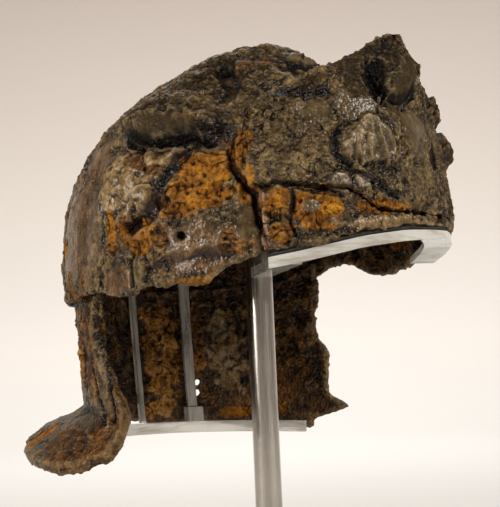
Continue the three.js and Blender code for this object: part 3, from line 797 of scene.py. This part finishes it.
# How the colours mingle, with painted shade in gaps, cracks and hollows and a painted highlight on crests.
BLOTCH_SHARE = 0.50
TINT_SHARE = 0.30
SPECK_SHARE = 0.20
MOTTLE_RANGE = (0.34, 0.66)
VEIN_SIZE = 24
VEIN_RANGE = (0.54, 0.66)
VEIN_SHARE = 0.6
FRAY_REACH = 1.3
FRAY_RANGE = (0.28, 0.72)
# Painted shade: grit gaps, sunk crags and fine cracks darken the colour.
GAP_RANGE = (0.42, 0.80)
GAP_SHADE = 0.6
SUNK_RANGE = (0.31, 0.43)
SUNK_SHADE = 0.8
HOLLOW_RANGE = (0.05, 0.85)
HOLLOW_SHARE = 0.98
HOLLOW_SHADE = (0.07, 0.045, 0.03)
# Painted highlight: a light tint laid on crests.
CREST_HIGHLIGHT_RANGE = (0.12, 0.5)
CREST_HIGHLIGHT_SHARE = 0.3
CREST_HIGHLIGHT_TINT = (0.37, 0.26, 0.13)
GLOSS_SPREAD = 0.6
ROUGHNESS_RANGE = (0.15, 0.95)
IRON_SPECULAR = 0.12
WAX_RANGE = (0.40, 0.60)
WAX_WEIGHT = 0.45
WAX_ROUGHNESS = 0.17
Skin = namedtuple("Skin", "grain speck crags grit crack loose")


def fine_cracks(shader, still):
    """A net of fine cracks over parts of the skin that isn't still."""
    edge = shader.cells(CRACK_SIZE, "DISTANCE_TO_EDGE", shader.warped(*CRACK_WARP))
    zone = shader.between(shader.noise(CRACK_ZONE_SIZE, 2, 0.5), *CRACK_ZONE)
    crack = shader.maths("MULTIPLY", shader.between(edge, *CRACK_WIDTHS, 1, 0), zone)
    return shader.maths("MULTIPLY", crack, shader.between(still, 0, CRACK_LIMIT, 1, 0))


def iron_skin(shader):
    """The textures that the iron's colour and its bump share."""
    still = 0.0
    for kind in STILL_KINDS:
        still = shader.maths("ADD", still, shader.share(kind), clamp=True)
    loose = shader.maths("MULTIPLY", shader.between(still, 0, 1, 1.0, STILL_GRIT),
                         shader.between(shader.share("orange"), 0, 1, 1.0, ORANGE_GRIT))
    return Skin(
        grain=shader.noise(TINT_SIZE, 2, 0.6),
        speck=shader.noise(SPECK_SIZE, 1, 0.5),
        crags=shader.noise(CRAG_SIZE, 3, 0.62, 0.3),
        grit=shader.cells(GRIT_SIZE, vector=shader.warped(*GRIT_WARP)),
        crack=fine_cracks(shader, still),
        loose=loose,
    )


def rust_colour(shader, skin):
    """The crust's colour with the patches of rust laid on it, and the roughness that goes with it."""
    mottle = shader.maths("MULTIPLY_ADD", shader.noise(BLOTCH_SIZE, 4, 0.6, 0.6), BLOTCH_SHARE,
                          shader.maths("MULTIPLY", skin.grain, TINT_SHARE))
    mottle = shader.maths("MULTIPLY_ADD", skin.speck, SPECK_SHARE, mottle)
    mottle = shader.between(mottle, *MOTTLE_RANGE)

    def coloured(rust):
        return shader.ramp(mottle, (0.0, rust.dark), (0.5, rust.middle), (1.0, rust.light))

    tones = {rust.kind: coloured(rust) for rust in RUSTS}
    colour = shader.mix(shader.share("inner"), coloured(BARE), coloured(INNER))
    veins = shader.between(shader.noise(VEIN_SIZE, 8, 0.72, 1.0), *VEIN_RANGE)
    colour = shader.mix(shader.maths("MULTIPLY", veins, VEIN_SHARE), colour, tones["brown"])
    uneven = shader.maths("SUBTRACT", skin.grain, 0.5)
    matt = BARE.roughness
    for rust in RUSTS:
        frayed = shader.maths("MULTIPLY_ADD", uneven, FRAY_REACH, shader.share(rust.kind))
        factor = shader.between(frayed, *FRAY_RANGE)
        colour = shader.mix(factor, colour, tones[rust.kind])
        matt = shader.maths("MULTIPLY_ADD", factor, shader.maths("SUBTRACT", rust.roughness, matt), matt)
    return colour, matt


def shaded_colour(shader, skin, colour):
    """The colour with painted shade in its gaps, cracks and hollows and a painted highlight on its crests.
    """
    # Painted shade in the gaps, cracks and hollows.
    gap = shader.maths("MAXIMUM", shader.between(skin.grit, *GAP_RANGE, 0, GAP_SHADE),
                       shader.between(skin.crags, *SUNK_RANGE, SUNK_SHADE, 0))
    gap = shader.maths("MAXIMUM", shader.maths("MULTIPLY", gap, skin.loose),
                       shader.maths("MULTIPLY", skin.crack, CRACK_SHADE))
    hollow = shader.between(shader.share("shade_in_hollows"), *HOLLOW_RANGE, 0, HOLLOW_SHARE)
    for dark in (gap, hollow):
        colour = shader.mix(dark, colour, (*HOLLOW_SHADE, 1), "MULTIPLY")
    # Painted highlight on the crests.
    crest = shader.maths("MULTIPLY", shader.share("highlight_on_crests"), skin.grain)
    return shader.mix(shader.between(crest, *CREST_HIGHLIGHT_RANGE, 0, CREST_HIGHLIGHT_SHARE), colour, (*CREST_HIGHLIGHT_TINT, 1))


def iron_material():
    """Corroded iron: brown crust with patches of rust, painted shade in its hollows and a painted highlight
    on its crests.
    """
    shader = Shader("corroded_iron")
    skin = iron_skin(shader)
    colour, matt = rust_colour(shader, skin)
    shader.set("Base Color", shaded_colour(shader, skin, colour))
    gloss = shader.maths("MULTIPLY_ADD", shader.maths("SUBTRACT", skin.speck, 0.5), GLOSS_SPREAD, matt)
    shader.set("Roughness", shader.between(gloss, *ROUGHNESS_RANGE, *ROUGHNESS_RANGE))
    shader.surface.inputs["Specular IOR Level"].default_value = IRON_SPECULAR
    shader.surface.inputs["Coat Roughness"].default_value = WAX_ROUGHNESS
    shader.set("Coat Weight", shader.between(matt, *WAX_RANGE, WAX_WEIGHT, 0.0))
    height = shader.maths("MULTIPLY_ADD", skin.crags, CRAG_HEIGHT,
                          shader.maths("MULTIPLY", skin.speck, SPECK_HEIGHT))
    height = shader.maths("SUBTRACT", height, shader.maths("MULTIPLY", skin.grit, GRIT_HEIGHT))
    height = shader.maths("MULTIPLY", height, skin.loose)
    height = shader.maths("SUBTRACT", height, shader.maths("MULTIPLY", skin.crack, CRACK_DEPTH))
    shader.bump(height, 1.0)
    return shader.material


# The stand's materials: sizes in millimetres, and tones between two levels of their noise.
HAZE_SIZE = 7
CLEAR_TONES = ((0.36, (0.66, 0.61, 0.52)), (0.56, (1.0, 0.98, 0.93)))
CLEAR_INDEX = 1.49
CLEAR_ROUGHNESS = (0.03, 0.16)
SCRATCH_SIZE = 1.2
SCRATCH_STRETCH = (0.15, 0.15, 1.0)
SCRATCH_RANGE = (0.35, 0.7)
SCRATCH_DEPTH = 0.05
STREAK_SIZE = 0.5
STREAK_STRETCH = (1.0, 1.0, 0.02)
STREAK_RANGE = (0.3, 0.7)
STREAK_DEPTH = 0.04
STREAK_SHARE = 0.6
CLOUD_SIZE = 40
CLOUD_SHARE = 0.4
STEEL_TONES = ((0.35, (0.42, 0.38, 0.34)), (0.65, (0.66, 0.61, 0.55)))
PORE_SIZE = 0.8
PORE_DEPTH = 0.3
FOAM_TONES = ((0.1, (0.004, 0.004, 0.004)), (0.8, (0.03, 0.028, 0.025)))
FIBRE_SIZE = 9
FIBRE_DEPTH = 0.1
FIBRE_LIFT = 0.004
DULL_ROUGHNESS = 0.9
PAPER_SPECULAR = 0.1


def clear_material(name, clearness, squeeze):
    """Clear acrylic with a slightly frosted, scratched skin, its haze squeezed along each axis."""
    shader = Shader(name)
    haze = shader.noise(HAZE_SIZE, 4, 0.6, vector=shader.stretched(squeeze))
    shader.set("Base Color", shader.ramp(haze, *CLEAR_TONES))
    shader.surface.inputs["Transmission Weight"].default_value = clearness
    shader.surface.inputs["IOR"].default_value = CLEAR_INDEX
    scratches = shader.noise(SCRATCH_SIZE, 3, 0.6, vector=shader.stretched(SCRATCH_STRETCH))
    shader.set("Roughness", shader.between(scratches, *SCRATCH_RANGE, *CLEAR_ROUGHNESS))
    shader.bump(scratches, SCRATCH_DEPTH, 0.4)
    return shader.material


def steel_material(name, smoothest, roughest):
    """Brushed steel with fine streaks along its height, between two roughnesses."""
    shader = Shader(name)
    streaks = shader.noise(STREAK_SIZE, 4, 0.7, vector=shader.stretched(STREAK_STRETCH))
    cloud = shader.noise(CLOUD_SIZE, 3, 0.5)
    tone = shader.maths("MULTIPLY_ADD", streaks, STREAK_SHARE, shader.maths("MULTIPLY", cloud, CLOUD_SHARE))
    shader.set("Base Color", shader.ramp(tone, *STEEL_TONES))
    shader.surface.inputs["Metallic"].default_value = 1.0
    shader.set("Roughness", shader.between(streaks, *STREAK_RANGE, smoothest, roughest))
    shader.bump(streaks, STREAK_DEPTH, 0.5)
    return shader.material


def foam_material():
    """Black foam with open pores."""
    shader = Shader("black_foam")
    pores = shader.cells(PORE_SIZE)
    shader.set("Base Color", shader.ramp(pores, *FOAM_TONES))
    shader.surface.inputs["Roughness"].default_value = DULL_ROUGHNESS
    shader.bump(pores, PORE_DEPTH, 0.8)
    return shader.material


def sweep_material():
    """A pale paper sweep, with painted shade that darkens it towards its top."""
    shader = Shader("pale_sweep")
    rise = shader.tree.nodes.new("ShaderNodeSeparateXYZ")
    shader.put(rise.inputs[0], shader.place)
    fibre = shader.noise(FIBRE_SIZE, 4, 0.5)
    level = shader.maths("MULTIPLY_ADD", fibre, FIBRE_LIFT, rise.outputs["Z"])
    shader.set("Base Color", shader.ramp(shader.between(level, 0.0, SWEEP_SHADE_HEIGHT), *SWEEP_SHADE_TONES))
    shader.surface.inputs["Roughness"].default_value = DULL_ROUGHNESS
    shader.surface.inputs["Specular IOR Level"].default_value = PAPER_SPECULAR
    shader.bump(fibre, FIBRE_DEPTH, 0.2)
    return shader.material


# How the stand's pieces are made: edges and chamfers in millimetres, and each material's setting.
REST_CLEARNESS = 0.50
REST_SQUEEZE = (0.3, 0.3, 2.2)
STRIP_CLEARNESS = 0.70
STRIP_SQUEEZE = (2.2, 2.2, 0.2)
BRIGHT_ROUGHNESS = (0.16, 0.30)
FLAT_ROUGHNESS = (0.40, 0.55)
POST_CHAMFER = 0.4
POST_SIDES = 96
RIM_ANGLE = 30
BASE_EDGE = 0.8
BRIDGE_EDGE = 0.4
CLEAR_EDGE = 0.5
BEVEL_STEPS = 3
REST_PIECES = {"clear_rest": "brow_rest", "clear_rail": "neck_rail"}
STRIP_PIECES = {
    "clear_block": "rail_block",
    "clear_wide_strip": "wide_strip",
    "clear_narrow_strip": "narrow_strip",
}


def foam_piece(name, node, material):
    """A foam pad with a slightly uneven skin."""
    points, faces = even_mesh(node, FOAM_VOXEL)
    points = smoothed(points, faces, FOAM_PASSES)
    uneven = FOAM_ROUGH * rough(points, 3, octaves=2, seed=7)
    points = points + normals(points, faces) * uneven[:, None]
    return mesh_piece(name, held_in_box(points), faces, node, material)


def bevelled_piece(name, node, material, width):
    """A copy of a CAD node with rounded edges."""
    piece = plain_mesh(name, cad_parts[node])
    piece.data.shade_smooth()
    piece.data.set_sharp_from_angle(angle=math.radians(SHARP_ANGLE))
    piece.data.materials.clear()
    piece.data.materials.append(material)
    bevel = piece.modifiers.new("edge", "BEVEL")
    bevel.width = width * MM
    bevel.segments = BEVEL_STEPS
    bevel.limit_method = "ANGLE"
    bevel.angle_limit = math.radians(SHARP_ANGLE)
    bevel.harden_normals = True
    return dressed(piece, node)


def ring_points(reach, level, sides, middle=(0, 0)):
    """Points of a level ring, or its one middle point where its reach is 0."""
    if reach == 0:
        return [(*middle, level)]
    angles = [2 * math.pi * i / sides for i in range(sides)]
    return [(middle[0] + reach * math.cos(angle), middle[1] + reach * math.sin(angle), level)
            for angle in angles]


def turned_piece(name, node, material, chamfer, sides=POST_SIDES):
    """A round bar between a CAD node's ends, with chamfered rims."""
    low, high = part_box(node)
    radius = (high[0] - low[0]) / 2
    middle = ((low[0] + high[0]) / 2, (low[1] + high[1]) / 2)
    edge = chamfer * MM
    profile = [(0, low[2]), (radius - edge, low[2]), (radius, low[2] + edge), (radius, high[2] - edge),
               (radius - edge, high[2]), (0, high[2])]
    shape = bmesh.new()
    rings = [[shape.verts.new(point) for point in ring_points(reach, level, sides, middle)]
             for reach, level in profile]
    for below, above in zip(rings, rings[1:]):
        for i in range(sides):
            corners = [below[i % len(below)], below[(i + 1) % len(below)],
                       above[(i + 1) % len(above)], above[i % len(above)]]
            shape.faces.new(list(dict.fromkeys(corners)))
    mesh = bpy.data.meshes.new(name)
    shape.to_mesh(mesh)
    shape.free()
    mesh.shade_smooth()
    mesh.set_sharp_from_angle(angle=math.radians(RIM_ANGLE))
    mesh.materials.append(material)
    piece = bpy.data.objects.new(name, mesh)
    bpy.context.scene.collection.objects.link(piece)
    return dressed(piece, node)


# The studio in metres: a round sweep whose floor curves up into its wall, and soft lights.
SWEEP_FLOOR = 1.2
SWEEP_BEND = 1.0
SWEEP_TOP = 1.4
SWEEP_SHADE_HEIGHT = 1.1
SWEEP_SIDES = 96
BEND_STEPS = 24
# Painted shade: the sweep's colour darkens with height, standing in for light falling off up the wall.
SWEEP_SHADE_TONES = [
    (0.0, (0.60, 0.59, 0.57)),
    (0.14, (0.64, 0.605, 0.57)),
    (0.45, (0.56, 0.515, 0.47)),
    (1.0, (0.40, 0.345, 0.31)),
]
Softbox = namedtuple("Softbox", "name turn elevation distance aim width height spread watts warmth")
SOFTBOXES = [
    Softbox("key", -8, 28, 1.2, 0.0, 0.25, 0.7, 180, 13, (1.0, 0.96, 0.90)),
    Softbox("fill", 102, 22, 1.2, 0.0, 0.22, 0.9, 180, 14, (1.0, 0.96, 0.90)),
    Softbox("backdrop", 225, 52, 1.3, 1.9, 1.2, 0.6, 180, 25.5, (1.0, 0.98, 0.96)),
    Softbox("rim", -140, 40, 1.5, 0.0, 0.6, 0.6, 180, 3, (1.0, 0.96, 0.90)),
]
AIR = (1.0, 0.955, 0.91)
AIR_STRENGTH = 0.1
AIM_HEIGHT = 0.2


def sweep(sides=SWEEP_SIDES, bend_steps=BEND_STEPS):
    """A round pale sweep under and around the object."""
    profile = [(0.0, 0.0), (SWEEP_FLOOR, 0.0)]
    for step in range(1, bend_steps + 1):
        angle = math.pi / 2 * step / bend_steps
        profile.append((SWEEP_FLOOR + SWEEP_BEND * math.sin(angle), SWEEP_BEND * (1 - math.cos(angle))))
    profile.append((SWEEP_FLOOR + SWEEP_BEND, SWEEP_TOP))
    points = [point for reach, level in profile for point in ring_points(reach, level, sides)]
    faces = []
    for i in range(sides):
        after = (i + 1) % sides
        faces.append((0, 1 + i, 1 + after))
        for ring in range(len(profile) - 2):
            first = 1 + ring * sides
            faces.append((first + i, first + sides + i, first + sides + after, first + after))
    mesh = bpy.data.meshes.new("sweep")
    mesh.from_pydata(points, [], faces)
    mesh.shade_smooth()
    mesh.materials.append(sweep_material())
    floor = bpy.data.objects.new("sweep", mesh)
    bpy.context.scene.collection.objects.link(floor)


def softbox(box):
    """An area light at a turn from the helmet's front and an elevation, aimed at the helmet."""
    light = bpy.data.lights.new(box.name, "AREA")
    light.shape = "RECTANGLE"
    light.size = box.width
    light.size_y = box.height
    light.energy = box.watts
    light.color = box.warmth
    light.spread = math.radians(box.spread)
    lamp = bpy.data.objects.new(box.name, light)
    turn = math.radians(box.turn)
    rise = math.radians(box.elevation)
    away = Vector((-math.sin(turn) * math.cos(rise), -math.cos(turn) * math.cos(rise), math.sin(rise)))
    lamp.location = Vector((0, 0, AIM_HEIGHT)) + away * box.distance
    level = Vector((away.x, away.y, 0)).normalized()
    target = Vector((0, 0, AIM_HEIGHT)) + level * box.aim
    lamp.rotation_euler = (lamp.location - target).to_track_quat("Z", "Y").to_euler()
    bpy.context.scene.collection.objects.link(lamp)


def studio():
    """Pale air, soft lights and the sweep."""
    world = bpy.data.worlds.new("studio")
    world.use_nodes = True
    air = world.node_tree.nodes["Background"]
    air.inputs["Color"].default_value = (*AIR, 1)
    air.inputs["Strength"].default_value = AIR_STRENGTH
    bpy.context.scene.world = world
    for box in SOFTBOXES:
        softbox(box)
    sweep()
    bpy.context.scene.view_settings.view_transform = "Standard"


def camera():
    """The photograph's camera: in front of the helmet's right side, a little above the floor."""
    towards = Vector((math.sin(CAMERA_SIDE), math.cos(CAMERA_SIDE), 0))
    up = Vector((0, 0, 1))
    right = towards.cross(up)
    yaw = math.atan((POST_COLUMN - PICTURE_WIDTH / 2) / FOCAL_PIXELS)
    pitch = math.atan((HORIZON_ROW - PICTURE_HEIGHT / 2) / FOCAL_PIXELS)
    ahead = towards * math.cos(yaw) - right * math.sin(yaw)
    level = ahead.cross(up).normalized()
    ahead = ahead * math.cos(pitch) + up * math.sin(pitch)
    over = level.cross(ahead)
    rolled = level * math.cos(CAMERA_ROLL) - over * math.sin(CAMERA_ROLL)
    top = rolled.cross(ahead)
    lens = bpy.data.cameras.new("camera")
    lens.sensor_fit = "HORIZONTAL"
    lens.sensor_width = SENSOR_WIDTH
    lens.lens = FOCAL_PIXELS * SENSOR_WIDTH / PICTURE_WIDTH
    lens.clip_start = 0.01
    eye = bpy.data.objects.new("camera", lens)
    where = -towards * CAMERA_DISTANCE + up * EYE_LEVEL
    eye.matrix_world = Matrix((
        (rolled.x, top.x, -ahead.x, where.x),
        (rolled.y, top.y, -ahead.y, where.y),
        (rolled.z, top.z, -ahead.z, where.z),
        (0, 0, 0, 1),
    ))
    bpy.context.scene.collection.objects.link(eye)
    bpy.context.scene.camera = eye


def helmet():
    """The four iron pieces."""
    iron = iron_material()
    iron_piece("iron_skull", "skull_bowl", iron, SKULL_VOXEL, SKULL_TURNS)
    iron_piece("iron_diadem", "diadem", iron, IRON_VOXEL, FRONT_TURNS)
    iron_piece("iron_band", "brow_band", iron, IRON_VOXEL, FRONT_TURNS)
    iron_piece("iron_neck", "neck_guard", iron, IRON_VOXEL)


def stand():
    """Post, base, clear supports and foam."""
    clear = clear_material("clear_acrylic", REST_CLEARNESS, REST_SQUEEZE)
    clearer = clear_material("clear_strip", STRIP_CLEARNESS, STRIP_SQUEEZE)
    steel = steel_material("brushed_steel", *BRIGHT_ROUGHNESS)
    dull_steel = steel_material("dull_steel", *FLAT_ROUGHNESS)
    foam = foam_material()
    turned_piece("steel_post", "post", steel, POST_CHAMFER)
    bevelled_piece("steel_base", "base_plate", dull_steel, BASE_EDGE)
    bevelled_piece("steel_bridge", "strip_bridge", dull_steel, BRIDGE_EDGE)
    for pieces, material in ((REST_PIECES, clear), (STRIP_PIECES, clearer)):
        for name, node in pieces.items():
            bevelled_piece(name, node, material, CLEAR_EDGE)
    foam_piece("foam_pad", "crown_pad", foam)
    foam_piece("foam_line", "foam_strip", foam)


camera()
helmet()
stand()
studio()
